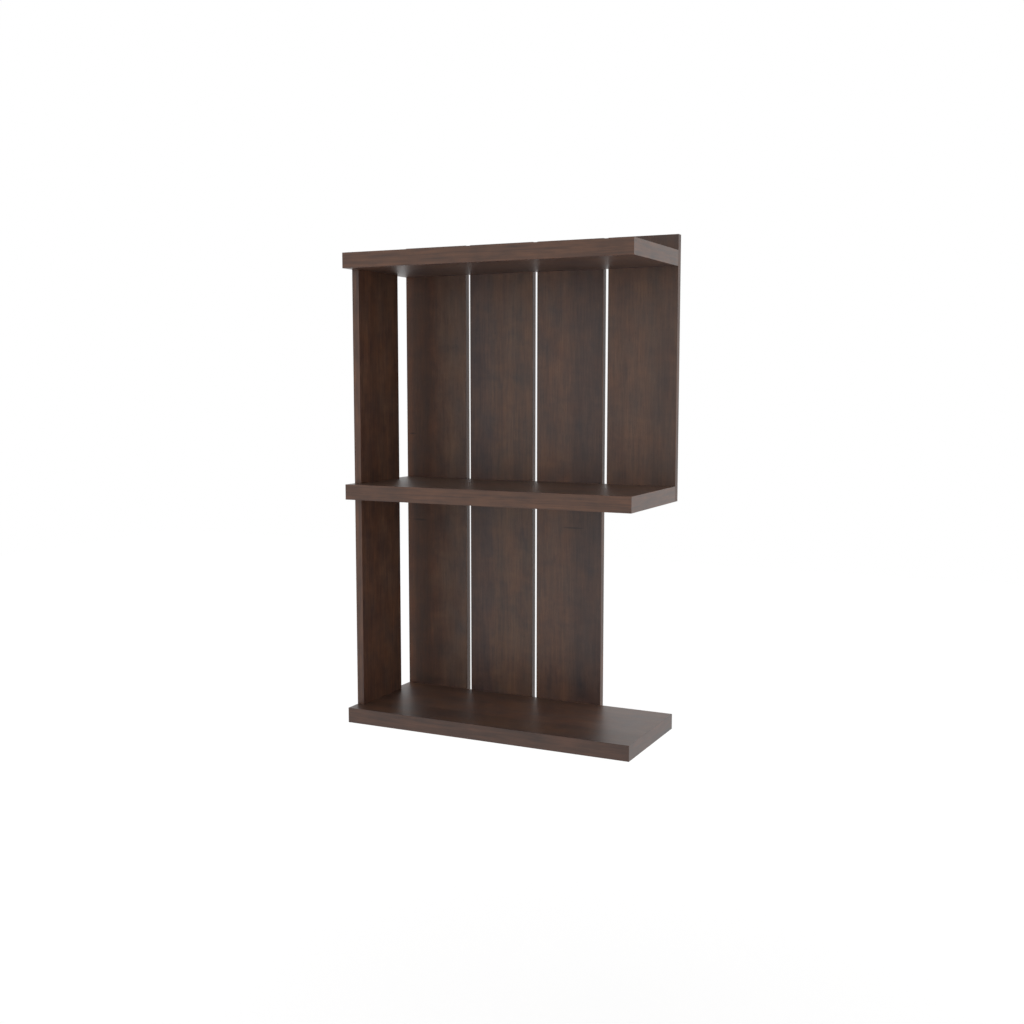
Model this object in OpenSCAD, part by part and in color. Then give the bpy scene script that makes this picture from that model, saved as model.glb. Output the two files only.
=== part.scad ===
// Wall shelf of dark decor board: three shelves in front of four upright back slats,
// with a side panel between the shelves at the left and a short slat at the right.
// Origin: on the wall, midway between the round ends of the two keyholes it hangs by.
// +X is right, +Z is up, the wall is the plane y = 0 and the shelf faces -Y.

/* [Shelves] */
// Width of each shelf, which is the width of the whole object
shelf_w = 600; // [500:10:1000]
// Depth of each shelf from its front edge to the slats
shelf_d = 240; // [220:5:350]
// Thickness of each shelf
shelf_t = 30; // [28:1:40]
// Clear height between the bottom and the middle shelf
lower_bay = 420; // [200:5:600]
// Clear height between the middle and the top shelf
upper_bay = 420; // [200:5:600]

/* [Back slats] */
// Thickness of each slat
slat_t = 15; // [15:1:20]
// Open gap between two slats
slat_gap = 10; // [4:1:20]
// How far the slats stand above the top shelf
slat_rise = 30; // [20:5:80]

/* [Side panels] */
// Thickness of each side panel
panel_t = 15; // [15:1:20]
// Width of each side panel, from front to back
panel_w = 147; // [130:1:160]
// Distance of the panels behind the shelves' front edges
panel_setback = 34; // [10:1:50]

/* [Edge bands] */
// Thickness of the strips glued round the boards' edges
band_t = 1; // [0.5:0.1:2]

/* [Connector screws] */
// Length of the screws through the slats into the shelves
slat_screw_l = 50; // [40:5:60]
// Length of the screws through the outer shelves into the side panels
panel_screw_l = 70; // [60:5:70]
// Distance between the two screws or dowels of one joint, a multiple of 32
screw_spacing = 96; // [64:32:96]
// Diameter of the countersunk head
head_d = 10; // [9:0.5:11]
// Diameter of the plain shoulder under the head
shoulder_d = 7; // [6:0.5:8]
// Diameter of the part that bites in the second board
core_d = 5; // [4:0.5:5.5]
// Hexagon socket in the head, across its flats
socket_af = 4; // [3:0.5:5]

/* [Screw caps] */
// Diameter of the caps over the screws that would show
cap_d = 13; // [12:0.5:15]
// Height of a cap above the board
cap_h = 1.5; // [1:0.1:2.5]

/* [Dowels] */
// Diameter of the wood dowels
dowel_d = 8; // [6:1:8]
// Length of the wood dowels
dowel_l = 30; // [25:1:35]

/* [Keyhole plates] */
// Length of each steel plate, upright
plate_l = 48; // [46:1:50]
// Width of each plate, whose ends are round
plate_w = 20; // [18:1:24]
// Thickness of each plate
plate_t = 2; // [1.5:0.5:3]
// Round end of the keyhole, where the wall screw's head goes in
entry_d = 10; // [8:0.5:11]
// Narrow slot of the keyhole, where the wall screw's shank hangs
slot_w = 5; // [4:0.5:6]
// How far the shelf drops onto the wall screws
keyhole_drop = 10; // [8:1:12]
// Room behind each plate for the wall screw's head
head_room = 6; // [4:0.5:7]

/* [Hidden] */
$fn = 48;

// Colours of the boards' faces, their edges and the hardware
face_colour = "#483b34";
panel_colour = "#3a2b24";
front_edge_colour = "#5e4c43";
side_edge_colour = "#6b5c54";
steel_colour = "#b4b4b0";
cap_colour = "#4a382e";
dowel_colour = "#c9a97c";

// Overlap of a cutting shape past the face it cuts
cut = 0.5;

// Places across the width
left_x = -shelf_w / 2;
slat_count = 4;
slat_w = (shelf_w - (slat_count - 1) * slat_gap) / slat_count;

// Places from front to back
shelf_back = -slat_t;
shelf_front = shelf_back - shelf_d;
panel_front = shelf_front + panel_setback;
panel_mid_y = panel_front + panel_w / 2;
panel_mid_x = left_x + panel_t / 2;

// Undersides of the shelves: the wall screws end level with the middle of the top shelf's edge
top_z = keyhole_drop - shelf_t / 2;
middle_z = top_z - upper_bay - shelf_t;
bottom_z = middle_z - lower_bay - shelf_t;
slat_top = top_z + shelf_t + slat_rise;

// A scraped band has its outer edges rounded to this radius, under half its thickness
band_r = 0.4 * band_t;

// Connector screw: the head is sunk a little, with a short rim and a 90 degree cone
head_sink = 0.5;
head_rim = 1;
head_cone = (head_d - shoulder_d) / 2;
socket_depth = 3;
point_l = 2;
pilot_spare = 3;
// Length over which two coaxial stretches of a turned part overlap
lap = 1;

// Screw cap: a low dome on a rim, with a stem that stays clear of the socket's floor
cap_rim = 0.5;
stem_gap = 0.5;
stem_play = 0.1;
stem_l = head_sink + socket_depth - stem_gap;
dome_h = cap_h - cap_rim;
dome_r = (pow(cap_d / 2, 2) + pow(dome_h, 2)) / (2 * dome_h);
dome_facets = 96;

// Dowels go further into the panel's end than into the shelf
dowel_in_shelf = 12;
dowel_in_panel = dowel_l - dowel_in_shelf;
dowel_chamfer = 1;
glue_room = 0.5;

// Keyhole plate and its two wood screws
plate_mid_z = keyhole_drop / 2;
plate_hole_inset = 6;
plate_hole_spacing = plate_l - 2 * plate_hole_inset;
plate_clear = 0.2;
pocket_spare = 3;
pocket_w = entry_d + pocket_spare;
wood_screw_l = 12;
wood_screw_head_d = 7;
wood_screw_shank_d = 3.5;
wood_screw_core_d = 2.5;
wood_pilot_spare = 1;
wood_screw_cone = (wood_screw_head_d - wood_screw_shank_d) / 2;
cross_l = 3.8;
cross_w = 0.8;
cross_depth = 1;

// Left edge, middle and lower end of a slat; slat 3 is the short one, counted from 0
function slat_left(i) = left_x + i * (slat_w + slat_gap);
function slat_mid(i) = slat_left(i) + slat_w / 2;
function slat_foot(i) = i == slat_count - 1 ? middle_z : bottom_z;

// Slats that a shelf is screwed to: the short one ends above the bottom shelf
function slats_at(z) = [for (i = [0 : slat_count - 1]) if (slat_foot(i) <= z) i];

// Two screw or dowel places of one joint, either side of its middle
function pair() = [-screw_spacing / 2, screw_spacing / 2];

// Section of an edge band: the glued face on x = 0, the outer one at x = -band_t with
// both its corners rounded, and the board's thickness along y
module band_section(thickness) {
    translate([-band_t + band_r, 0]) square([band_t - band_r, thickness]);
    translate([-band_t, band_r]) square([band_r, thickness - 2 * band_r]);
    for (y = [band_r, thickness - band_r])
        translate([-band_t + band_r, y]) circle(band_r);
}

// Edge band standing along z; a band that turns the corner has its ends rounded too
module band(length, thickness, turns_corner = false) {
    if (turns_corner)
        intersection() {
            linear_extrude(length) band_section(thickness);
            translate([0, thickness, 0])
                rotate([90, 0, 0]) linear_extrude(thickness) band_section(length);
        }
    else
        linear_extrude(length) band_section(thickness);
}

// Bands of a shelf: the front and back ones run the full width, the others between them
module shelf_front_band(z)
    color(front_edge_colour)
        translate([left_x, shelf_front + band_t, z])
            rotate(120, [1, 1, 1]) band(shelf_w, shelf_t, true);

module shelf_back_band(z)
    color(side_edge_colour)
        difference() {
            translate([left_x, shelf_back - band_t, z])
                mirror([0, 1, 0]) rotate(120, [1, 1, 1]) band(shelf_w, shelf_t, true);
            slat_pilots(z);
        }

module shelf_left_band(z)
    color(side_edge_colour)
        translate([left_x + band_t, shelf_back - band_t, z])
            rotate([90, 0, 0]) band(shelf_d - 2 * band_t, shelf_t);

module shelf_right_band(z) mirror([1, 0, 0]) shelf_left_band(z);

// Bands of a slat: the upright ones run the full height, the others between them
module slat_left_band(i)
    color(side_edge_colour)
        translate([slat_left(i) + band_t, -slat_t, slat_foot(i)])
            band(slat_top - slat_foot(i), slat_t, true);

module slat_right_band(i)
    color(side_edge_colour)
        translate([slat_left(i) + slat_w - band_t, -slat_t, slat_foot(i)])
            mirror([1, 0, 0]) band(slat_top - slat_foot(i), slat_t, true);

module slat_top_band(i)
    color(side_edge_colour)
        translate([slat_left(i) + band_t, -slat_t, slat_top - band_t])
            rotate([0, 90, 0]) band(slat_w - 2 * band_t, slat_t);

module slat_foot_band(i)
    color(side_edge_colour)
        translate([slat_left(i) + band_t, -slat_t, slat_foot(i) + band_t])
            mirror([0, 0, 1]) rotate([0, 90, 0]) band(slat_w - 2 * band_t, slat_t);

// Bands of a side panel, which stands on the middle or the bottom shelf
module panel_front_band(z, height)
    color(front_edge_colour)
        translate([left_x, panel_front + band_t, z])
            rotate([0, 0, 90]) mirror([0, 1, 0]) band(height, panel_t);

module panel_back_band(z, height)
    color(side_edge_colour)
        translate([left_x, panel_front + panel_w - band_t, z])
            rotate([0, 0, -90]) band(height, panel_t);

// Connector screw along +z from the face of the board it passes through
module connector_screw(length, through) {
    difference() {
        union() {
            translate([0, 0, head_sink]) cylinder(d = head_d, h = head_rim);
            translate([0, 0, head_sink + head_rim])
                cylinder(d1 = head_d, d2 = shoulder_d, h = head_cone);
            translate([0, 0, head_sink]) cylinder(d = shoulder_d, h = through - head_sink);
            cylinder_between(core_d, through - lap, length - point_l);
            translate([0, 0, length - point_l])
                cylinder(d1 = core_d, d2 = core_d / 2, h = point_l);
        }
        cylinder(d = socket_af / cos(30), h = head_sink + socket_depth, $fn = 6);
    }
}

module cylinder_between(d, from, to)
    translate([0, 0, from]) cylinder(d = d, h = to - from);

// Stepped hole for a connector screw through the first board, along +z
module connector_bore(through) {
    cylinder_between(head_d, -cut, head_sink + head_rim);
    translate([0, 0, head_sink + head_rim])
        cylinder(d1 = head_d, d2 = shoulder_d, h = head_cone);
    cylinder_between(shoulder_d, head_sink, through + cut);
}

// Places of the screws that join the slats to the shelf at z, pointing from the wall
module at_slat_screws(i, z)
    for (dx = pair())
        translate([slat_mid(i) + dx, 0, z + shelf_t / 2]) rotate([90, 0, 0]) children();

module slat_pilots(z)
    for (i = slats_at(z))
        at_slat_screws(i, z)
            cylinder_between(core_d, slat_t - cut, slat_screw_l + pilot_spare);

// Places of the screws and dowels that join a side panel to the shelf face at z
module at_panel_fixings(z)
    for (dy = pair())
        translate([panel_mid_x, panel_mid_y + dy, z]) children();

// Board of a shelf, without its bands: blind holes for the slats' screws in its back edge
module shelf_board(z)
    difference() {
        translate([left_x + band_t, shelf_front + band_t, z])
            cube([shelf_w - 2 * band_t, shelf_d - 2 * band_t, shelf_t]);
        slat_pilots(z);
    }

// Plate outline, keyhole and head pocket are all two circles joined by a straight stretch
module stadium(d, z_low, z_high) {
    for (z = [z_low, z_high]) translate([0, z]) circle(d = d);
    translate([-d / 2, z_low]) square([d, z_high - z_low]);
}

module plate_outline(grow = 0)
    stadium(plate_w + 2 * grow,
            plate_mid_z - plate_l / 2 + plate_w / 2,
            plate_mid_z + plate_l / 2 - plate_w / 2);

// Flat work on the wall side of a slat, cut or set to a depth below its back face
module on_slat_back(i, depth)
    translate([slat_mid(i), 0, 0])
        rotate([90, 0, 0]) linear_extrude(depth) children();

module at_plate_screws(i)
    for (dz = [-plate_hole_spacing / 2, plate_hole_spacing / 2])
        translate([slat_mid(i), 0, plate_mid_z + dz]) rotate([90, 0, 0]) children();

// Recess for a keyhole plate, with the deeper pocket for the wall screw's head
module hanger_recess(i) {
    translate([0, cut, 0]) on_slat_back(i, plate_t + cut) plate_outline(plate_clear);
    on_slat_back(i, plate_t + head_room) stadium(pocket_w, 0, keyhole_drop);
    at_plate_screws(i) cylinder(d = wood_screw_core_d, h = wood_screw_l + wood_pilot_spare);
}

// Board of a slat, without its bands
module slat_board(i, has_hanger)
    difference() {
        translate([slat_left(i) + band_t, -slat_t, slat_foot(i) + band_t])
            cube([slat_w - 2 * band_t, slat_t, slat_top - slat_foot(i) - 2 * band_t]);
        for (z = [bottom_z, middle_z, top_z])
            if (z >= slat_foot(i)) at_slat_screws(i, z) connector_bore(slat_t);
        if (has_hanger) hanger_recess(i);
    }

module slat_screws(z)
    color(steel_colour)
        for (i = slats_at(z))
            at_slat_screws(i, z) connector_screw(slat_screw_l, slat_t);

module dowel_holes(z, depth_up, depth_down)
    at_panel_fixings(z) cylinder_between(dowel_d, -depth_down, depth_up);

module panel_board(z, height)
    translate([left_x, panel_front + band_t, z]) cube([panel_t, panel_w - 2 * band_t, height]);

module dowel() {
    straight = dowel_l - 2 * dowel_chamfer;
    cylinder(d1 = dowel_d - 2 * dowel_chamfer, d2 = dowel_d, h = dowel_chamfer);
    cylinder_between(dowel_d, dowel_chamfer, dowel_chamfer + straight);
    translate([0, 0, dowel_chamfer + straight])
        cylinder(d1 = dowel_d, d2 = dowel_d - 2 * dowel_chamfer, h = dowel_chamfer);
}

// Cap over a connector screw: its dome stands along +z, its stem goes down the socket
module screw_cap() {
    rotate_extrude()
        union() {
            square([cap_d / 2, cap_rim]);
            intersection() {
                translate([0, cap_h - dome_r]) circle(dome_r, $fn = dome_facets);
                translate([0, cap_rim]) square([cap_d / 2, dome_h]);
            }
        }
    translate([0, 0, -stem_l])
        cylinder(d = socket_af / cos(30) - stem_play, h = stem_l + cap_rim, $fn = 6);
}

module keyhole_plate(i)
    color(steel_colour)
        difference() {
            on_slat_back(i, plate_t)
                difference() {
                    plate_outline();
                    circle(d = entry_d);
                    stadium(slot_w, 0, keyhole_drop);
                }
            at_plate_screws(i) {
                cylinder_between(wood_screw_shank_d, -cut, plate_t + cut);
                cylinder(d1 = wood_screw_head_d, d2 = wood_screw_shank_d, h = wood_screw_cone);
            }
        }

module wood_screw()
    difference() {
        union() {
            cylinder(d1 = wood_screw_head_d, d2 = wood_screw_shank_d, h = wood_screw_cone);
            cylinder_between(wood_screw_shank_d, wood_screw_cone, plate_t);
            cylinder_between(wood_screw_core_d, plate_t, wood_screw_l - point_l);
            translate([0, 0, wood_screw_l - point_l])
                cylinder(d1 = wood_screw_core_d, d2 = wood_screw_core_d / 3, h = point_l);
        }
        for (turn = [0, 90])
            rotate([0, 0, turn])
                translate([-cross_l / 2, -cross_w / 2, -cut])
                    cube([cross_l, cross_w, cross_depth + cut]);
    }

module keyhole_plate_screws(i)
    color(steel_colour) at_plate_screws(i) wood_screw();

// Boards
module top_shelf()
    color(face_colour)
        difference() {
            shelf_board(top_z);
            at_panel_fixings(top_z + shelf_t) rotate([180, 0, 0]) connector_bore(shelf_t);
        }

module middle_shelf()
    color(face_colour)
        difference() {
            shelf_board(middle_z);
            dowel_holes(middle_z + shelf_t, cut, dowel_in_shelf + glue_room);
            dowel_holes(middle_z, dowel_in_shelf + glue_room, cut);
        }

module bottom_shelf()
    color(face_colour)
        difference() {
            shelf_board(bottom_z);
            at_panel_fixings(bottom_z) connector_bore(shelf_t);
        }

module back_slat_1() color(face_colour) slat_board(0, true);
module back_slat_2() color(face_colour) slat_board(1, false);
module back_slat_3() color(face_colour) slat_board(2, false);
module short_back_slat() color(face_colour) slat_board(3, true);

module upper_side_panel()
    color(panel_colour)
        difference() {
            panel_board(middle_z + shelf_t, upper_bay);
            at_panel_fixings(top_z)
                cylinder_between(core_d, shelf_t - panel_screw_l - pilot_spare, cut);
            dowel_holes(middle_z + shelf_t, dowel_in_panel + glue_room, cut);
        }

module lower_side_panel()
    color(panel_colour)
        difference() {
            panel_board(bottom_z + shelf_t, lower_bay);
            at_panel_fixings(bottom_z + shelf_t)
                cylinder_between(core_d, -cut, panel_screw_l - shelf_t + pilot_spare);
            dowel_holes(middle_z, cut, dowel_in_panel + glue_room);
        }

// Edge bands
module top_shelf_front_band() shelf_front_band(top_z);
module top_shelf_back_band() shelf_back_band(top_z);
module top_shelf_left_band() shelf_left_band(top_z);
module top_shelf_right_band() shelf_right_band(top_z);
module middle_shelf_front_band() shelf_front_band(middle_z);
module middle_shelf_back_band() shelf_back_band(middle_z);
module middle_shelf_left_band() shelf_left_band(middle_z);
module middle_shelf_right_band() shelf_right_band(middle_z);
module bottom_shelf_front_band() shelf_front_band(bottom_z);
module bottom_shelf_back_band() shelf_back_band(bottom_z);
module bottom_shelf_left_band() shelf_left_band(bottom_z);
module bottom_shelf_right_band() shelf_right_band(bottom_z);
module back_slat_1_left_band() slat_left_band(0);
module back_slat_1_right_band() slat_right_band(0);
module back_slat_1_top_band() slat_top_band(0);
module back_slat_1_foot_band() slat_foot_band(0);
module back_slat_2_left_band() slat_left_band(1);
module back_slat_2_right_band() slat_right_band(1);
module back_slat_2_top_band() slat_top_band(1);
module back_slat_2_foot_band() slat_foot_band(1);
module back_slat_3_left_band() slat_left_band(2);
module back_slat_3_right_band() slat_right_band(2);
module back_slat_3_top_band() slat_top_band(2);
module back_slat_3_foot_band() slat_foot_band(2);
module short_back_slat_left_band() slat_left_band(3);
module short_back_slat_right_band() slat_right_band(3);
module short_back_slat_top_band() slat_top_band(3);
module short_back_slat_foot_band() slat_foot_band(3);
module upper_side_panel_front_band() panel_front_band(middle_z + shelf_t, upper_bay);
module upper_side_panel_back_band() panel_back_band(middle_z + shelf_t, upper_bay);
module lower_side_panel_front_band() panel_front_band(bottom_z + shelf_t, lower_bay);
module lower_side_panel_back_band() panel_back_band(bottom_z + shelf_t, lower_bay);

// Screws, caps and dowels
module top_shelf_slat_screws() slat_screws(top_z);
module middle_shelf_slat_screws() slat_screws(middle_z);
module bottom_shelf_slat_screws() slat_screws(bottom_z);

module upper_panel_screws()
    color(steel_colour)
        at_panel_fixings(top_z + shelf_t)
            rotate([180, 0, 0]) connector_screw(panel_screw_l, shelf_t);

module lower_panel_screws()
    color(steel_colour)
        at_panel_fixings(bottom_z) connector_screw(panel_screw_l, shelf_t);

module upper_screw_caps()
    color(cap_colour) at_panel_fixings(top_z + shelf_t) screw_cap();

module lower_screw_caps()
    color(cap_colour) at_panel_fixings(bottom_z) rotate([180, 0, 0]) screw_cap();

module upper_panel_dowels()
    color(dowel_colour)
        at_panel_fixings(middle_z + shelf_t - dowel_in_shelf) dowel();

module lower_panel_dowels()
    color(dowel_colour)
        at_panel_fixings(middle_z - dowel_in_panel) dowel();

// Hangers on the wall side of the outer slats
module left_keyhole_plate() keyhole_plate(0);
module right_keyhole_plate() keyhole_plate(3);
module left_keyhole_plate_screws() keyhole_plate_screws(0);
module right_keyhole_plate_screws() keyhole_plate_screws(3);

top_shelf();
middle_shelf();
bottom_shelf();
back_slat_1();
back_slat_2();
back_slat_3();
short_back_slat();
upper_side_panel();
lower_side_panel();
top_shelf_front_band();
top_shelf_back_band();
top_shelf_left_band();
top_shelf_right_band();
middle_shelf_front_band();
middle_shelf_back_band();
middle_shelf_left_band();
middle_shelf_right_band();
bottom_shelf_front_band();
bottom_shelf_back_band();
bottom_shelf_left_band();
bottom_shelf_right_band();
back_slat_1_left_band();
back_slat_1_right_band();
back_slat_1_top_band();
back_slat_1_foot_band();
back_slat_2_left_band();
back_slat_2_right_band();
back_slat_2_top_band();
back_slat_2_foot_band();
back_slat_3_left_band();
back_slat_3_right_band();
back_slat_3_top_band();
back_slat_3_foot_band();
short_back_slat_left_band();
short_back_slat_right_band();
short_back_slat_top_band();
short_back_slat_foot_band();
upper_side_panel_front_band();
upper_side_panel_back_band();
lower_side_panel_front_band();
lower_side_panel_back_band();
top_shelf_slat_screws();
middle_shelf_slat_screws();
bottom_shelf_slat_screws();
upper_panel_screws();
lower_panel_screws();
upper_screw_caps();
lower_screw_caps();
upper_panel_dowels();
lower_panel_dowels();
left_keyhole_plate();
right_keyhole_plate();
left_keyhole_plate_screws();
right_keyhole_plate_screws();
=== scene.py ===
import bmesh
import bpy
import math
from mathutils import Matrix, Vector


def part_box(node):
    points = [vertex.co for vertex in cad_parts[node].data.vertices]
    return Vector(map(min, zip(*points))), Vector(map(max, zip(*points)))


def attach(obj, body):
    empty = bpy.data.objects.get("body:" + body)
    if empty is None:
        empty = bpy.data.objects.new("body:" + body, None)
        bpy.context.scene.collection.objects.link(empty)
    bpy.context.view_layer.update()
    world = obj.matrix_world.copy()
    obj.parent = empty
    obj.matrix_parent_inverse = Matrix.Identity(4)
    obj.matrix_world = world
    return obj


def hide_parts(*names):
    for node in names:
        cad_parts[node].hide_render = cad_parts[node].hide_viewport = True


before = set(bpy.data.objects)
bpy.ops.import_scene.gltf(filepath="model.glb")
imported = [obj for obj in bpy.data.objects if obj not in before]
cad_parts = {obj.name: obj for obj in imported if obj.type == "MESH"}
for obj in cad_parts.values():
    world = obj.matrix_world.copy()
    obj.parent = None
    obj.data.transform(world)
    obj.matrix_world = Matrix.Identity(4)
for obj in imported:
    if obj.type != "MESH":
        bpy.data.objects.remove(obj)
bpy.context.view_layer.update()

# Shelves: three 30 mm particle boards, faced above and below with melamine paper that is printed
# as dark stained walnut. They are sawn with the grain along their length, and the slats are
# screwed to their back edges from behind.
MM = 0.001


def linear(code):
    """A colour written as sRGB hex, as the linear RGBA that a shader takes."""
    channels = [int(code[i:i + 2], 16) / 255 for i in (1, 3, 5)]
    return [c / 12.92 if c <= 0.04045 else ((c + 0.055) / 1.055) ** 2.4 for c in channels] + [1.0]


def add(tree, kind, sockets=(), **settings):
    """Adds a node with its settings, fills its sockets with values or links, and returns its output.
    The sockets come in the node's own order, or by name in a dict."""
    node = tree.nodes.new(kind)
    for name, value in settings.items():
        setattr(node, name, value)
    shown = [s for s in node.inputs if s.enabled]
    by_name = {s.name: s for s in reversed(shown)}
    for key, value in sockets.items() if isinstance(sockets, dict) else enumerate(sockets):
        socket = by_name[key] if isinstance(sockets, dict) else shown[key]
        if isinstance(value, bpy.types.NodeSocket):
            tree.links.new(value, socket)
        else:
            socket.default_value = value
    return next((s for s in node.outputs if s.enabled), None)


def weighted(tree, start, layers):
    """start plus each layer's distance from its middle value, times the layer's weight."""
    total = start
    for layer, weight in layers:
        centred = add(tree, "ShaderNodeMath", (layer, 0.5), operation="SUBTRACT")
        total = add(tree, "ShaderNodeMath", (centred, weight, total), operation="MULTIPLY_ADD")
    return total


def new_material(name):
    material = bpy.data.materials.new(name)
    material.use_nodes = True
    material.node_tree.nodes.clear()
    return material


def finish_material(tree, **sockets):
    """Ends a material with its shader; sockets are the shader's inputs, with _ for a space."""
    shader = add(tree, "ShaderNodeBsdfPrincipled", {k.replace("_", " "): v for k, v in sockets.items()})
    add(tree, "ShaderNodeOutputMaterial", {"Surface": shader})


def figure(tree, place, grain, cut_from, wide, long, detail, roughness=0.55, distortion=0.0):
    """One layer of a wood's figure, as spots that are wide across the grain and long with it, in
    millimetres. cut_from is where in the endless figure the board is cut."""
    spots = [1 / (wide * MM)] * 3
    spots["XYZ".index(grain)] = 1 / (long * MM)
    scaled = add(tree, "ShaderNodeMapping", {"Vector": place, "Location": cut_from, "Scale": spots})
    return add(tree, "ShaderNodeTexNoise", {"Vector": scaled, "Scale": 1.0, "Detail": detail,
                                            "Roughness": roughness, "Distortion": distortion})


grain_depth = 0.05 * MM


def decor_board(name, grain, facing, middle, thickness, cut_from, turn, before, after,
                soft=12 * MM, broad=1.0, fine=1.0, marks=()):
    """Melamine decor: a printed, stained walnut figure under a satin press plate's finish.
    grain is the axis that the figure runs along and facing the axis through the board. Inside the
    bores, away from both faces, the bare particle board shows. Across the board the colour changes
    at turn, over twice the width soft, and before and after are its colour and roughness; on the
    first slat the darker side is painted shade and the paler side partly painted sheen. broad and
    fine are the strengths of the figure's large and small parts, and marks are its darker rays and,
    on the first slat, bands of painted sheen and painted shade."""
    material = new_material(name)
    tree = material.node_tree
    place = add(tree, "ShaderNodeTexCoord").node.outputs["Object"]
    axes = add(tree, "ShaderNodeSeparateXYZ", (place,)).node.outputs
    along = "XYZ".index(grain)
    across = 3 - along - "XYZ".index(facing)

    # Flames of heartwood, stain clouds, cross curl, mottle, redder spots, year-ring streaks,
    # fibres and pores
    paper = (tree, place, grain, cut_from)
    flames = figure(*paper, 26, 190, 2)
    clouds = figure(*paper, 48, 56, 2, distortion=0.5)
    curl = figure(*paper, 34, 15, 2)
    mottle = figure(*paper, 7, 24, 2)
    redness = figure(*paper, 34, 60, 1)
    streaks = figure(*paper, 6, 110, 2)
    fibres = figure(*paper, 2.2, 40, 2)
    pores = figure(*paper, 0.9, 8, 1)

    # The line where the colour changes wanders with the flames and clouds
    wander = 25 * MM
    wavy = weighted(tree, axes[across], ((flames, wander), (clouds, wander)))
    past = add(tree, "ShaderNodeMapRange", (wavy, turn - soft, turn + soft),
               interpolation_type="SMOOTHSTEP")
    stain = add(tree, "ShaderNodeMix", (past, linear(before[0]), linear(after[0])), data_type="RGBA")
    rough = add(tree, "ShaderNodeMix", (past, before[1], after[1]), data_type="FLOAT")

    # Thinner stain lets through more red and green than blue, and redder spots swap blue for red
    stain_by_channel = (0.67, 0.64, 0.37)
    red_by_channel = (0.40, 0.0, -0.40)
    thinner = weighted(tree, 0.0, ((flames, broad), (clouds, 1.6 * broad), (curl, 0.4 * fine),
                                   (mottle, 0.2 * fine), (streaks, 0.5 * fine)))
    tint = add(tree, "ShaderNodeVectorMath", (thinner, stain_by_channel, (1.0, 1.0, 1.0)),
               operation="MULTIPLY_ADD")
    redder = add(tree, "ShaderNodeMath", (redness, 0.5), operation="SUBTRACT")
    tint = add(tree, "ShaderNodeVectorMath", (redder, red_by_channel, tint), operation="MULTIPLY_ADD")
    stain = add(tree, "ShaderNodeVectorMath", (stain, tint), operation="MULTIPLY")

    # Lighter and darker print, with a dark fleck at each pore
    pore_from, pore_full, pore_shade = 0.64, 0.76, 0.7
    shade = weighted(tree, 1.0, ((flames, 0.15 * broad), (curl, 0.08), (mottle, 0.08 * fine),
                                 (streaks, 0.28 * fine), (fibres, 0.66 * fine)))
    fleck = add(tree, "ShaderNodeMapRange", (pores, pore_from, pore_full, 1.0, pore_shade))
    shade = add(tree, "ShaderNodeMath", (shade, fleck), operation="MULTIPLY")

    # Each mark is an oval that is full to half its reach and gone a fifth past it. Marks are the print's
    # dark rays, and on the first slat bands of painted sheen and painted shade
    mark_full, mark_gone = 0.5, 1.2
    for mark_at, mark_reach, brightness in marks:
        centre, scale = [0.0] * 3, [0.0] * 3
        centre[across], centre[along] = mark_at
        scale[across], scale[along] = 1 / mark_reach[0], 1 / mark_reach[1]
        oval = add(tree, "ShaderNodeVectorMath", (place, centre), operation="SUBTRACT")
        oval = add(tree, "ShaderNodeVectorMath", (oval, scale), operation="MULTIPLY")
        oval = add(tree, "ShaderNodeVectorMath", (oval,), operation="LENGTH").node.outputs["Value"]
        mark = add(tree, "ShaderNodeMapRange", (oval, mark_full, mark_gone, brightness, 1.0),
                   interpolation_type="SMOOTHSTEP")
        shade = add(tree, "ShaderNodeMath", (shade, mark), operation="MULTIPLY")
    printed = add(tree, "ShaderNodeVectorMath", {"Vector": stain, "Scale": shade}, operation="SCALE")

    # Bare core: pressed chips 1 to 3 mm long, pale and dull, between the papers of the two faces
    chip_size = 2.2 * MM
    paper_t = 0.05 * MM
    core_rough = 0.85
    chips = add(tree, "ShaderNodeTexVoronoi", {"Vector": place, "Scale": 1 / chip_size})
    chip = add(tree, "ShaderNodeSeparateXYZ", (chips.node.outputs["Color"],))
    core = add(tree, "ShaderNodeMix", (chip, linear("#8a6b48"), linear("#c3a67c")), data_type="RGBA")
    off = add(tree, "ShaderNodeMath", (axes[facing], middle), operation="SUBTRACT")
    off = add(tree, "ShaderNodeMath", (off,), operation="ABSOLUTE")
    faced = add(tree, "ShaderNodeMath", (off, thickness / 2 - paper_t), operation="GREATER_THAN")
    colour = add(tree, "ShaderNodeMix", (faced, core, printed), data_type="RGBA")

    rough = weighted(tree, rough, ((streaks, 0.10), (clouds, 0.06)))
    rough = add(tree, "ShaderNodeMix", (faced, core_rough, rough), data_type="FLOAT")
    relief = weighted(tree, 0.5, ((fibres, 0.5), (pores, -0.5)))
    normal = add(tree, "ShaderNodeBump", {"Height": relief, "Strength": 0.12, "Distance": grain_depth})
    finish_material(tree, Base_Color=colour, Roughness=rough, Normal=normal, IOR=1.5)
    return material


def middle_of(node):
    low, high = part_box(node)
    return (low + high) / 2


def dress(node, material):
    """Gives a CAD piece its material and leaves its mesh alone."""
    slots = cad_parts[node].data.materials
    slots.clear()
    slots.append(material)


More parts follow.
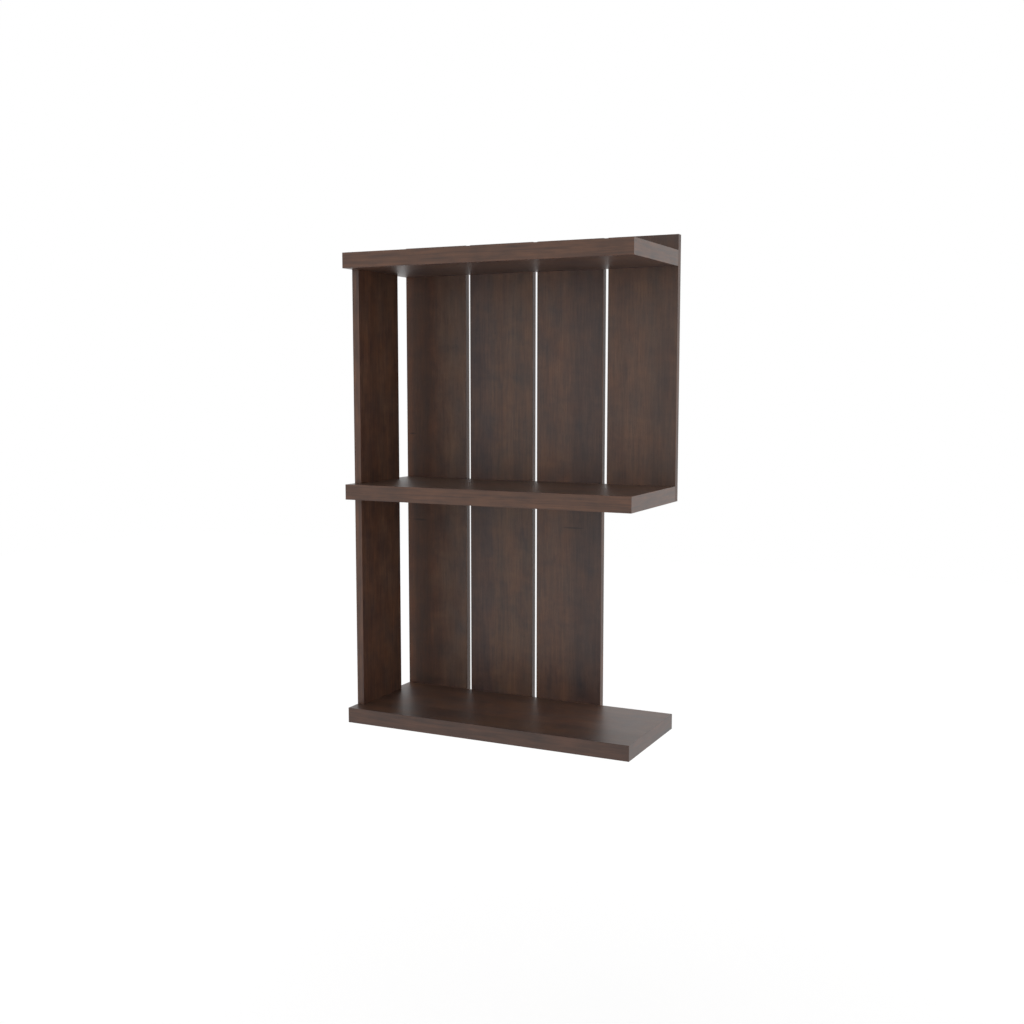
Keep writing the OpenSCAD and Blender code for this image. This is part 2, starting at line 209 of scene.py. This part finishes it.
# Each shelf has one colour along its front and another further back. The top shelf's colours are
# lighter, partly painted light for the brighter light on its underside.
shelf_t = 30 * MM
shelf_satin = 0.41
front_zone_w = 75 * MM
shelf_stains_and_painted_light = {"top_shelf": ("#523c33", "#513d35"), "middle_shelf": ("#433128", "#4b372d"),
                "bottom_shelf": ("#432f25", "#4f382d")}
for i, (name, (before, after)) in enumerate(shelf_stains_and_painted_light.items()):
    dress(name, decor_board(f"walnut melamine, {name}", "X", "Z", middle_of(name).z, shelf_t,
                            cut_from=(3.1 * i, 7.3, 1.9 * i), fine=1.3,
                            turn=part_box(name)[0].y + front_zone_w,
                            before=(before, shelf_satin), after=(after, shelf_satin)))

# Back slats: four 15 mm boards of the same decor, sawn with the grain upright and set 10 mm apart.
# The screws go through them from behind into the shelves. The fourth is short and ends level with
# the middle shelf's underside. Each has its own place where heartwood turns to sapwood; on the first
# slat, beside the side panel, the darker left side is painted shade instead.
slat_t = 15 * MM
satin = 0.38

# Share of the width where the colour turns, half the width that it turns over, the contrast of the
# figure, and the colour and roughness on the left and on the right. On the first slat the dark left
# colour is painted shade and the paler, greyer right colour is partly painted sheen.
slat_stains_and_painted_light = {
    # First slat: painted shade on the left, partly painted sheen on the right
    "back_slat_1": (0.61, 36 * MM, 0.85, ("#472b1c", 0.75), ("#543f34", 0.42)),
    "back_slat_2": (0.36, 16 * MM, 1.0, ("#48332c", satin), ("#533a2c", satin)),
    "back_slat_3": (0.55, 16 * MM, 1.0, ("#53392c", satin), ("#422e27", satin)),
    "short_back_slat": (0.62, 16 * MM, 0.9, ("#53392b", satin), ("#483227", satin)),
}

# Place and reach of each mark across and along the slat, in metres, and its brightness: three short
# dark rays across the grain in the print, and along the first slat's left edge a lighter band of
# painted sheen and a darker band of painted shade
print_marks_and_painted_light = {
    "back_slat_1": (((-0.2705, -0.517), (0.0185, 0.0021), 0.42), ((-0.2865, -0.333), (0.0095, 0.0018), 0.45),
                    # Along the first slat's left edge: a band of painted sheen, then one of painted shade
                    ((-0.296, -0.425), (0.016, 3.0), 1.15), ((-0.266, -0.425), (0.025, 3.0), 0.68)),
    "back_slat_3": (((0.0865, -0.517), (0.0240, 0.0020), 0.5),),
}
for i, (name, (share, soft, contrast, before, after)) in enumerate(slat_stains_and_painted_light.items()):
    low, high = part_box(name)
    dress(name, decor_board(f"walnut melamine, {name}", "Z", "Y", middle_of(name).y, slat_t,
                            cut_from=(5.7 * i, 2.3, 4.1 * i), turn=low.x + share * (high.x - low.x),
                            before=before, after=after, soft=soft, broad=contrast, fine=contrast,
                            marks=print_marks_and_painted_light.get(name, ())))

# Side panels: two 15 mm boards that stand between the shelves at the left end, set back from the
# front edges and clear of the slats. Screws hold them to the outer shelves, and dowels and glue
# to the middle one.
panel_t = 15 * MM
for i, name in enumerate(("upper_side_panel", "lower_side_panel")):
    middle = middle_of(name)
    dress(name, decor_board(f"walnut melamine, {name}", "Z", "X", middle.x, panel_t,
                            cut_from=(1.3, 8.9 + 4.7 * i, 2.9 * i), turn=middle.y, broad=0.9, fine=1.7,
                            before=("#50372b", satin), after=("#533b2f", satin)))

# Edge bands: 1 mm strips printed like the faces, glued hot round the boards' sawn edges and
# scraped flush, with their outer corners rounded. The print runs along each strip.


def edge_band(name, grain, cut_from, dark, pale, satin):
    """Edge band: the printed strip that covers a board's sawn edge, scraped and buffed satin."""
    material = new_material(name)
    tree = material.node_tree
    place = add(tree, "ShaderNodeTexCoord").node.outputs["Object"]
    paper = (tree, place, grain, cut_from)
    clouds = figure(*paper, 18, 48, 3)
    streaks = figure(*paper, 5, 110, 3)
    fibres = figure(*paper, 1.8, 45, 3)
    tone = weighted(tree, 0.5, ((clouds, 2.2), (streaks, 2.4)))
    tinted = add(tree, "ShaderNodeMix", (tone, linear(dark), linear(pale)), data_type="RGBA",
                 clamp_factor=False)
    shade = weighted(tree, 1.0, ((clouds, 0.15), (streaks, 0.55), (fibres, 0.65)))
    printed = add(tree, "ShaderNodeVectorMath", {"Vector": tinted, "Scale": shade}, operation="SCALE")
    rough = weighted(tree, satin, ((streaks, 0.10),))
    normal = add(tree, "ShaderNodeBump", {"Height": fibres, "Strength": 0.1, "Distance": grain_depth})
    finish_material(tree, Base_Color=printed, Roughness=rough, Normal=normal, IOR=1.5)
    return material


# By the strip's direction, and whether it is on the bottom shelf: the print's name, where it is
# cut, its dark and pale colours, and its roughness. The bottom shelf's bands are darker: painted
# shade for the dimmer light low down.
edge_prints = {
    ("X", False): ("walnut edge band, along the shelves", (0.4, 6.1, 3.7), "#483024", "#583a29", 0.34),
    # Bottom shelf: colours darkened as painted shade
    ("X", True): ("darker walnut edge band, along the shelf", (4.9, 2.2, 5.3), "#3e2a21", "#4a3125", 0.34),
    ("Y", False): ("walnut edge band, across the ends", (2.8, 1.1, 9.4), "#412b20", "#5b3c2a", 0.34),
    ("Y", True): ("darker walnut edge band, across the ends", (6.6, 7.1, 1.2), "#332016", "#4a2d1f", 0.34),
    ("Z", False): ("walnut edge band, upright", (7.7, 3.2, 0.9), "#432c22", "#593b2a", 0.45),
}
band_materials = {(grain, darker): edge_band(name, grain, *look)
                  for (grain, darker), (name, *look) in edge_prints.items()}
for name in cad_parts:
    if name.endswith("_band"):
        low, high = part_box(name)
        longest = "XYZ"[max(range(3), key=lambda axis: high[axis] - low[axis])]
        dress(name, band_materials[longest, name.startswith("bottom_shelf")])

# Dowels: beech pins of 8 x 30 mm with pressed flutes and chamfered ends, glued 12 mm into the
# middle shelf and 18 mm into the ends of the side panels. Each is turned from a profile and set
# at the places of its joint, as the screws and caps below are.

# A fitting's own sizes are in millimetres, and its places are in metres
dowel_r = 4
dowel_l = 30
dowel_in_shelf = 12
flute_count = 20
flute_depth = 0.35
fixing_spacing = 96 * MM
weld = 0.001 * MM
sharp_angle = math.radians(35)


def turning_tree():
    """Geometry nodes that turn a profile round the Z axis, with the sockets, threads and flutes
    that its rings ask for, and set a copy of it at each place of a joint."""
    tree = bpy.data.node_groups.new("turned fitting", "GeometryNodeTree")
    for name, kind in (("Profile", "Geometry"), ("Segments", "Int"), ("Thread pitch", "Float"),
                       ("Recess width", "Float"), ("Flutes", "Int"), ("First place", "Vector"),
                       ("Row step", "Vector"), ("Rows", "Int"), ("Pair step", "Vector"),
                       ("Turn", "Vector"), ("Finish", "Material")):
        tree.interface.new_socket(name, in_out="INPUT", socket_type=f"NodeSocket{kind}")
    tree.interface.new_socket("Geometry", in_out="OUTPUT", socket_type="NodeSocketGeometry")
    given = add(tree, "NodeGroupInput").node.outputs

    # A grid with a column for each segment and a row for each ring of the profile
    rings = add(tree, "GeometryNodeAttributeDomainSize", (given["Profile"],), component="MESH")
    columns = add(tree, "ShaderNodeMath", (given["Segments"], 1.0), operation="ADD")
    grid = add(tree, "GeometryNodeMeshGrid", (1.0, 1.0, columns, rings))
    index = add(tree, "GeometryNodeInputIndex")
    column = add(tree, "ShaderNodeMath", (index, rings), operation="DIVIDE")
    column = add(tree, "ShaderNodeMath", (column,), operation="FLOOR")
    row = add(tree, "ShaderNodeMath", (index, rings), operation="MODULO")
    turns = add(tree, "ShaderNodeMath", (column, given["Segments"]), operation="DIVIDE")
    angle = add(tree, "ShaderNodeMath", (turns, 2 * math.pi), operation="MULTIPLY")

    def of_ring(name):
        value = add(tree, "GeometryNodeInputNamedAttribute", (name,), data_type="FLOAT")
        return add(tree, "GeometryNodeSampleIndex", (given["Profile"], value, row), data_type="FLOAT")

    radius = of_ring("radius")
    height = of_ring("height")

    # Hexagon: a ring's radius is that of its flats, and its corners reach further out
    off_flat = add(tree, "ShaderNodeMath", (angle, math.pi / 3), operation="MODULO")
    off_flat = add(tree, "ShaderNodeMath", (off_flat, math.pi / 6), operation="SUBTRACT")
    off_flat = add(tree, "ShaderNodeMath", (off_flat,), operation="COSINE")
    corner = add(tree, "ShaderNodeMath", (radius, off_flat), operation="DIVIDE")
    radius = add(tree, "ShaderNodeMix", (of_ring("hexagon"), radius, corner), data_type="FLOAT")

    # Cross recess: four arms of even width. least keeps the division clear of zero along an arm
    least = 0.01
    off_arm = add(tree, "ShaderNodeMath", (angle, math.pi / 4), operation="ADD")
    off_arm = add(tree, "ShaderNodeMath", (off_arm, math.pi / 2), operation="MODULO")
    off_arm = add(tree, "ShaderNodeMath", (off_arm, math.pi / 4), operation="SUBTRACT")
    off_arm = add(tree, "ShaderNodeMath", (off_arm,), operation="SINE")
    off_arm = add(tree, "ShaderNodeMath", (off_arm,), operation="ABSOLUTE")
    off_arm = add(tree, "ShaderNodeMath", (off_arm, least), operation="MAXIMUM")
    flank = add(tree, "ShaderNodeMath", (given["Recess width"], 0.5), operation="MULTIPLY")
    flank = add(tree, "ShaderNodeMath", (flank, off_arm), operation="DIVIDE")
    crossed = add(tree, "ShaderNodeMath", (radius, flank), operation="MINIMUM")
    radius = add(tree, "ShaderNodeMix", (of_ring("cross"), radius, crossed), data_type="FLOAT")

    # Thread: a ridge that climbs one pitch with each turn. Its crest and its flanks end at shares
    # of the pitch from the middle of the crest
    crest_end, flank_end = 0.03, 0.27
    climb = add(tree, "ShaderNodeMath", (height, given["Thread pitch"]), operation="DIVIDE")
    climb = add(tree, "ShaderNodeMath", (climb, turns), operation="SUBTRACT")
    climb = add(tree, "ShaderNodeMath", (climb,), operation="FRACT")
    off_crest = add(tree, "ShaderNodeMath", (climb, 0.5), operation="SUBTRACT")
    off_crest = add(tree, "ShaderNodeMath", (off_crest,), operation="ABSOLUTE")
    ridge = add(tree, "ShaderNodeMapRange", (off_crest, crest_end, flank_end, 1.0, 0.0))
    radius = add(tree, "ShaderNodeMath", (ridge, of_ring("thread"), radius), operation="MULTIPLY_ADD")

    # Flutes: even grooves all round
    groove = add(tree, "ShaderNodeMath", (angle, given["Flutes"]), operation="MULTIPLY")
    groove = add(tree, "ShaderNodeMath", (groove,), operation="COSINE")
    groove = add(tree, "ShaderNodeMath", (groove, 0.5, -0.5), operation="MULTIPLY_ADD")
    radius = add(tree, "ShaderNodeMath", (groove, of_ring("flute"), radius), operation="MULTIPLY_ADD")

    # The grid is wrapped round the axis, and each point keeps its place in the profile, for the
    # tool marks
    cosine = add(tree, "ShaderNodeMath", (angle,), operation="COSINE")
    sine = add(tree, "ShaderNodeMath", (angle,), operation="SINE")
    x = add(tree, "ShaderNodeMath", (radius, cosine), operation="MULTIPLY")
    y = add(tree, "ShaderNodeMath", (radius, sine), operation="MULTIPLY")
    spot = add(tree, "ShaderNodeCombineXYZ", (x, y, height))
    turned = add(tree, "GeometryNodeSetPosition", {"Geometry": grid, "Position": spot})
    from_axis = add(tree, "ShaderNodeCombineXYZ", (radius, 0.0, height))
    turned = add(tree, "GeometryNodeStoreNamedAttribute", {
        "Geometry": turned, "Name": "turned", "Value": from_axis}, data_type="FLOAT_VECTOR", domain="POINT")
    turned = add(tree, "GeometryNodeMergeByDistance", {"Geometry": turned, "Distance": weld})
    turned = add(tree, "GeometryNodeSetShadeSmooth", {"Geometry": turned})

    # Places: rows of two
    half = add(tree, "ShaderNodeMath", (index, 2.0), operation="DIVIDE")
    in_row = add(tree, "ShaderNodeMath", (half,), operation="FLOOR")
    in_pair = add(tree, "ShaderNodeMath", (index, 2.0), operation="MODULO")
    place = add(tree, "ShaderNodeVectorMath", (given["Row step"], in_row, given["First place"]),
                operation="MULTIPLY_ADD")
    place = add(tree, "ShaderNodeVectorMath", (given["Pair step"], in_pair, place), operation="MULTIPLY_ADD")
    count = add(tree, "ShaderNodeMath", (given["Rows"], 2.0), operation="MULTIPLY")
    places = add(tree, "GeometryNodePoints", (count, place))
    copies = add(tree, "GeometryNodeInstanceOnPoints", {
        "Points": places, "Instance": turned, "Rotation": given["Turn"]})
    solid = add(tree, "GeometryNodeRealizeInstances", {"Geometry": copies})
    solid = add(tree, "GeometryNodeSetMaterial", {"Geometry": solid, "Material": given["Finish"]})
    add(tree, "NodeGroupOutput", (solid,))
    return tree


turning = turning_tree()


def ring(radius, height, **shape):
    """One ring of a profile, in millimetres: hexagon and cross are shares, thread and flute depths."""
    sizes = {key: value * MM if key in ("thread", "flute") else value for key, value in shape.items()}
    return {"radius": radius * MM, "height": height * MM, **sizes}


def turned_fitting(name, node, slot, rings, **inputs):
    """Makes the like pieces of one node as one mesh, from the rings of their profile. inputs are the
    tree's, with _ for a space. Left alone, they give one pair, a fixing's spacing apart in depth."""
    profile = bpy.data.meshes.new(f"{name}_profile")
    profile.from_pydata([(r["radius"], 0, r["height"]) for r in rings],
                        [(i, i + 1) for i in range(len(rings) - 1)], [])
    for key in ("radius", "height", "hexagon", "cross", "thread", "flute"):
        layer = profile.attributes.new(key, "FLOAT", "POINT")
        layer.data.foreach_set("value", [r.get(key, 0.0) for r in rings])
    piece = bpy.data.objects.new(name, profile)
    bpy.context.scene.collection.objects.link(piece)
    modifier = piece.modifiers.new("turning", "NODES")
    modifier.node_group = turning
    sizes = {"Segments": 48, "Row_step": (0, 0, 0), "Rows": 1, "Pair_step": (0, fixing_spacing, 0),
             "Turn": (0, 0, 0), **inputs}
    for socket in turning.interface.items_tree:
        if socket.name.replace(" ", "_") in sizes:
            modifier[socket.identifier] = sizes[socket.name.replace(" ", "_")]
    evaluated = piece.evaluated_get(bpy.context.evaluated_depsgraph_get())
    solid = bpy.data.meshes.new_from_object(evaluated)
    piece.modifiers.remove(modifier)
    piece.data = solid
    bpy.data.meshes.remove(profile)
    solid.name = name
    solid.materials.clear()
    solid.materials.append(inputs["Finish"])
    solid.polygons.foreach_set("material_index", [0] * len(solid.polygons))
    solid.set_sharp_from_angle(angle=sharp_angle)
    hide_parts(node)
    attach(piece, "root")


# Beech: a pale, even pink-brown with short darker rays along the grain, dull from the press
beech = new_material("steamed beech, pressed")
tree = beech.node_tree
place = add(tree, "ShaderNodeTexCoord").node.outputs["Object"]
rays = figure(tree, place, "Z", (0, 0, 0), 0.4, 1.8, 2, roughness=0.5)
years = figure(tree, place, "Z", (0, 0, 0), 2.5, 60, 2, roughness=0.5)
tone = weighted(tree, 0.5, ((rays, 1.6), (years, 1.2)))
colour = add(tree, "ShaderNodeMix", (tone, linear("#b98f64"), linear("#d9bb90")), data_type="RGBA")
normal = add(tree, "ShaderNodeBump", {"Height": rays, "Strength": 0.3, "Distance": grain_depth})
finish_material(tree, Base_Color=colour, Roughness=0.62, Normal=normal)

# Radius, height and flute depth of each ring at one end. The other end has them in reverse
dowel_end = ((0, 0, 0), (2.7, 0, 0), (3, 0.06, 0), (3.92, 0.95, 0), (dowel_r, 1.15, 0.2),
             (dowel_r, 1.6, flute_depth))
dowel_rings = [ring(radius, height, flute=flute) for radius, height, flute in dowel_end]
dowel_rings += [ring(dowel_r, height, flute=flute_depth) for height in (8, 15, 22)]
dowel_rings += [ring(radius, dowel_l - height, flute=flute) for radius, height, flute in reversed(dowel_end)]
panel_x = middle_of("upper_side_panel").x
fixing_y = middle_of("upper_side_panel").y - fixing_spacing / 2
low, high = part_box("middle_shelf")
for node, foot in (("upper_panel_dowels", high.z - dowel_in_shelf * MM),
                   ("lower_panel_dowels", low.z + (dowel_in_shelf - dowel_l) * MM)):
    turned_fitting(f"fluted_{node}", node, "beech_dowel", dowel_rings, Segments=80, Flutes=flute_count,
                   Finish=beech, First_place=(panel_x, fixing_y, foot))

# Connector screws: steel, cold headed and thread rolled, with a countersunk head and a 4 mm
# hexagon socket. They go through the slats' backs into the shelves' edges, two at each crossing,
# and through the outer shelves into the side panels' ends.
head_r, head_sink = 5, 0.5
socket_flat, socket_depth = 2, 3.5
shank_r = 3.5
core_r, thread_depth, thread_pitch = 2.5, 1.0, 3.0
point_l = 2.0
rings_per_turn = 6


def thread_rings(core, depth, pitch, first, last, run_in, run_out):
    """Rings of a thread from first to last, that grows over run_in rings and fades over run_out."""
    steps = round((last - first) / (pitch / rings_per_turn))
    rings = []
    for i in range(steps + 1):
        grown = min(1, i / run_in, (steps - i) / run_out)
        rings.append(ring(core, first + (last - first) * i / steps, thread=depth * grown))
    return rings


def connector_screw(length, through):
    """Rings from the floor of the socket, over the head, along the thread and to the point."""
    rings = [ring(0, 3.9), ring(1.2, 3.62), ring(1.9, socket_depth, hexagon=1),
             ring(socket_flat, 3.4, hexagon=1), ring(socket_flat, 0.95, hexagon=1), ring(2.42, 0.53),
             ring(2.55, head_sink), ring(3.6, head_sink), ring(4.7, head_sink), ring(4.91, 0.57),
             ring(head_r, 0.76), ring(head_r, 1.42), ring(4.92, 1.58), ring(3.6, 2.9),
             ring(shank_r, 3.1), ring(shank_r, through - 0.4), ring(3.4, through)]
    rings += thread_rings(core_r, thread_depth, thread_pitch, through + 1, length - point_l,
                          run_in=4, run_out=6)
    return rings + [ring(core_r / 2 + 0.1, length - 0.15), ring(core_r / 2 - 0.1, length), ring(0, length)]


def bright_zinc(name, marks, depth):
    """Bright zinc plating: a blue-white mirror dulled by the tool marks of the steel under it and by
    faint cloudy passivation. marks draws the tool marks, and depth is how deep they are."""
    material = new_material(name)
    tree = material.node_tree
    place = add(tree, "ShaderNodeTexCoord").node.outputs["Object"]
    cloud_size = 3 * MM
    clouds = add(tree, "ShaderNodeTexNoise", {"Vector": place, "Scale": 1 / cloud_size, "Detail": 3.0})
    colour = add(tree, "ShaderNodeMix", (clouds, linear("#b9bfc6"), linear("#dcdcd8")), data_type="RGBA")
    lines = marks(tree)
    rough = weighted(tree, 0.3, ((clouds, 0.25), (lines, 0.2)))
    normal = add(tree, "ShaderNodeBump", {"Height": lines, "Strength": 0.5, "Distance": depth})
    finish_material(tree, Base_Color=colour, Metallic=1.0, Roughness=rough, Normal=normal)
    return material


def turning_marks(tree):
    """Rings 0.15 mm apart round each fitting's own axis."""
    from_axis = add(tree, "ShaderNodeAttribute", attribute_name="turned").node.outputs["Vector"]
    return add(tree, "ShaderNodeTexNoise", {"Vector": from_axis, "Scale": 1 / (0.15 * MM), "Detail": 1.0})


plated_screw = bright_zinc("bright zinc on turned steel", turning_marks, depth=0.02 * MM)
slat_screw_l, panel_screw_l = 50, 70
through_slat, through_shelf = 15, 30
first_x = middle_of("back_slat_1").x - fixing_spacing / 2
slat_step = middle_of("back_slat_2").x - middle_of("back_slat_1").x
wall_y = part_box("back_slat_1")[1].y
level = (math.radians(90), 0, 0)
for shelf, slats in (("top_shelf", 4), ("middle_shelf", 4), ("bottom_shelf", 3)):
    turned_fitting(f"connector_screws_{shelf}", f"{shelf}_slat_screws", "zinc_plated_steel",
                   connector_screw(slat_screw_l, through_slat), Thread_pitch=thread_pitch * MM,
                   Finish=plated_screw, First_place=(first_x, wall_y, middle_of(shelf).z),
                   Row_step=(slat_step, 0, 0), Rows=slats, Pair_step=(fixing_spacing, 0, 0), Turn=level)

top_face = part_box("top_shelf")[1].z
under_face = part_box("bottom_shelf")[0].z
upright = (0, 0, 0)
over = (math.radians(180), 0, 0)
for node, face, turn in (("upper_panel_screws", top_face, over),
                         ("lower_panel_screws", under_face, upright)):
    turned_fitting(f"connector_{node}", node, "zinc_plated_steel",
                   connector_screw(panel_screw_l, through_shelf), Thread_pitch=thread_pitch * MM,
                   Finish=plated_screw, First_place=(panel_x, fixing_y, face), Turn=turn)

# Screw caps: low domes of injection-moulded plastic in the boards' brown. The six-sided stem is
# pressed into the screw's socket, and the rim lies on the board.
cap_r, cap_rim, cap_h = 6.5, 0.5, 1.5
stem_flat, stem_l, stem_chamfer = 1.957, 3, 0.3
dome_r = (cap_r ** 2 + (cap_h - cap_rim) ** 2) / (2 * (cap_h - cap_rim))
cap_rings = [ring(0, -stem_l), ring(1.7, -stem_l, hexagon=1),
             ring(stem_flat, stem_chamfer - stem_l, hexagon=1), ring(stem_flat, 0, hexagon=1),
             ring(2.6, 0), ring(6.35, 0), ring(cap_r, 0.12), ring(cap_r, 0.4)]
for radius in (6.42, 6.2, 5.7, 5, 4, 3, 2, 1, 0):
    cap_rings.append(ring(radius, cap_h - dome_r + math.sqrt(dome_r ** 2 - radius ** 2)))

# Cap plastic: satin from a spark-eroded mould, with the faint grain of its texture, 0.12 mm across,
# and the flow of the melt
grain_size, flow_size = 0.12 * MM, 5 * MM
cap_plastic = new_material("moulded polypropylene, dark brown")
tree = cap_plastic.node_tree
place = add(tree, "ShaderNodeTexCoord").node.outputs["Object"]
texture = add(tree, "ShaderNodeTexNoise", {"Vector": place, "Scale": 1 / grain_size, "Detail": 2.0})
flow = add(tree, "ShaderNodeTexNoise", {"Vector": place, "Scale": 1 / flow_size, "Detail": 1.0})
colour = add(tree, "ShaderNodeMix", (flow, linear("#45342b"), linear("#4d3b31")), data_type="RGBA")
normal = add(tree, "ShaderNodeBump", {"Height": texture, "Strength": 0.25, "Distance": 0.02 * MM})
rough = weighted(tree, 0.45, ((texture, 0.1),))
finish_material(tree, Base_Color=colour, Roughness=rough, Normal=normal, IOR=1.49)
for node, face, turn in (("upper_screw_caps", top_face, upright), ("lower_screw_caps", under_face, over)):
    turned_fitting(f"domed_{node}", node, "cap_plastic", cap_rings, Segments=96, Finish=cap_plastic,
                   First_place=(panel_x, fixing_y, face), Turn=turn)

# Keyhole plates: 2 mm steel, punched and countersunk, tumbled to break the edges, then plated.
# They lie flush in the backs of the outer slats, and the shelf hangs by them on two wall screws.
plate_edge = 0.25 * MM
edge_angle = math.radians(60)
flat_angle = math.radians(1)


def rolling_marks(tree):
    """Streaks 0.2 mm apart and 9 mm long along the strip that the plates are punched from."""
    place = add(tree, "ShaderNodeTexCoord").node.outputs["Object"]
    stretched = add(tree, "ShaderNodeMapping", {
        "Vector": place, "Scale": (1 / (0.2 * MM), 1 / (0.2 * MM), 1 / (9 * MM))})
    return add(tree, "ShaderNodeTexNoise", {"Vector": stretched, "Scale": 1.0, "Detail": 1.0})


plated_strip = bright_zinc("bright zinc on rolled steel", rolling_marks, depth=0.01 * MM)
for side in ("left", "right"):
    node = f"{side}_keyhole_plate"
    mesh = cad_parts[node].data.copy()
    shape = bmesh.new()
    shape.from_mesh(mesh)
    bmesh.ops.remove_doubles(shape, verts=shape.verts, dist=weld)
    bmesh.ops.dissolve_limit(shape, angle_limit=flat_angle, verts=shape.verts, edges=shape.edges)
    outlines = [edge for edge in shape.edges if edge.calc_face_angle(0) > edge_angle]
    bmesh.ops.bevel(shape, geom=outlines, offset=plate_edge, offset_type="OFFSET", segments=2, profile=0.5,
                    affect="EDGES")
    bmesh.ops.dissolve_degenerate(shape, dist=weld, edges=shape.edges)
    shape.to_mesh(mesh)
    shape.free()
    mesh.materials.clear()
    mesh.materials.append(plated_strip)
    for polygon in mesh.polygons:
        polygon.use_smooth = True
    mesh.set_sharp_from_angle(angle=sharp_angle)
    piece = bpy.data.objects.new(f"punched_{node}", mesh)
    bpy.context.scene.collection.objects.link(piece)
    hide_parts(node)
    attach(piece, "root")

# Wood screws: two to each keyhole plate, 3.5 x 12 mm, with countersunk heads flush with the plate
# and a cross recess. Turned, thread rolled and plated like the connector screws.
wood_screw_l = 12
wood_pitch = 1.4
wood_core_r, wood_thread = 1.25, 0.5
wood_shank_l, wood_tip_l = 2.6, 1.6
recess_w = 0.8
wood_rings = [ring(0, 1.9), ring(0.5, 1.7, cross=1), ring(1.4, 0.8, cross=1), ring(1.85, 0.12, cross=1),
              ring(1.95, 0, cross=1), ring(2.2, 0), ring(3.25, 0), ring(3.36, 0.05), ring(3.34, 0.15),
              ring(1.82, 1.67), ring(1.75, 1.8), ring(1.75, 2)]
wood_rings += thread_rings(wood_core_r, wood_thread, wood_pitch, wood_shank_l,
                           wood_screw_l - wood_tip_l, run_in=5, run_out=8)
wood_rings += [ring(0.35, wood_screw_l - 0.1), ring(0, wood_screw_l)]
hole_inset = 6 * MM
for side in ("left", "right"):
    low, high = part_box(f"{side}_keyhole_plate")
    low_hole = ((low.x + high.x) / 2, wall_y, low.z + hole_inset)
    node = f"{side}_keyhole_plate_screws"
    turned_fitting(f"cross_{node}", node, "zinc_plated_steel", wood_rings, Finish=plated_screw,
                   First_place=low_hole, Pair_step=(0, 0, high.z - low.z - 2 * hole_inset), Turn=level,
                   Thread_pitch=wood_pitch * MM, Recess_width=recess_w * MM)

# Room: a plain white floor 0.9 m under the bottom shelf, white surroundings that light the shelf
# evenly from all sides, and a camera as the photograph was taken, from the right, a little above
# the shelf's middle and looking slightly down.
floor_drop = 900 * MM
floor_half = 8.0
floor_z = under_face - floor_drop
corners = [(x * floor_half, y * floor_half, floor_z) for x, y in ((-1, -1), (1, -1), (1, 1), (-1, 1))]
floor_mesh = bpy.data.meshes.new("floor")
floor_mesh.from_pydata(corners, [], [(0, 1, 2, 3)])
floor = bpy.data.objects.new("floor", floor_mesh)
bpy.context.scene.collection.objects.link(floor)

# Floor paint: a flat white without gloss, lifted for the camera and in reflections so that only
# the shelf's soft shadow shows on it
lift = 0.17
floor_paint = new_material("matt white floor paint")
tree = floor_paint.node_tree
rays = add(tree, "ShaderNodeLightPath").node.outputs
seen = add(tree, "ShaderNodeMath", (rays["Is Camera Ray"], rays["Is Glossy Ray"]), operation="MAXIMUM")
seen = add(tree, "ShaderNodeMath", (seen, rays["Is Transmission Ray"]), operation="MAXIMUM")
glow = add(tree, "ShaderNodeMath", (seen, lift), operation="MULTIPLY")
finish_material(tree, Base_Color=linear("#eeeeee"), Roughness=0.9, Specular_IOR_Level=0.0,
                Emission_Color=linear("#ffffff"), Emission_Strength=glow)
floor_mesh.materials.append(floor_paint)

# Sky: plain white at a strength of 1, under which colours look about as they are written
world = bpy.data.worlds.new("white studio")
world.use_nodes = True
world.node_tree.nodes.clear()
sky = add(world.node_tree, "ShaderNodeBackground", {"Color": linear("#ffffff"), "Strength": 1.0})
add(world.node_tree, "ShaderNodeOutputWorld", {"Surface": sky})
bpy.context.scene.world = world

# Camera: its place, angles and focal length are fitted to the edges of the shelf in the
# photograph. Its angles are up from straight down, and to the left.
sensor = 36.0
frame_px = 1024
focal_px = 1237.6
eye = (1.0622, -2.2980, -0.2239)
look_up, look_left = math.radians(84), math.radians(26)
camera_data = bpy.data.cameras.new("camera")
camera_data.sensor_width = sensor
camera_data.lens = sensor * focal_px / frame_px
camera = bpy.data.objects.new("camera", camera_data)
camera.location = eye
camera.rotation_euler = (look_up, 0, look_left)
bpy.context.scene.collection.objects.link(camera)
bpy.context.scene.camera = camera
bpy.context.scene.view_settings.view_transform = "Standard"
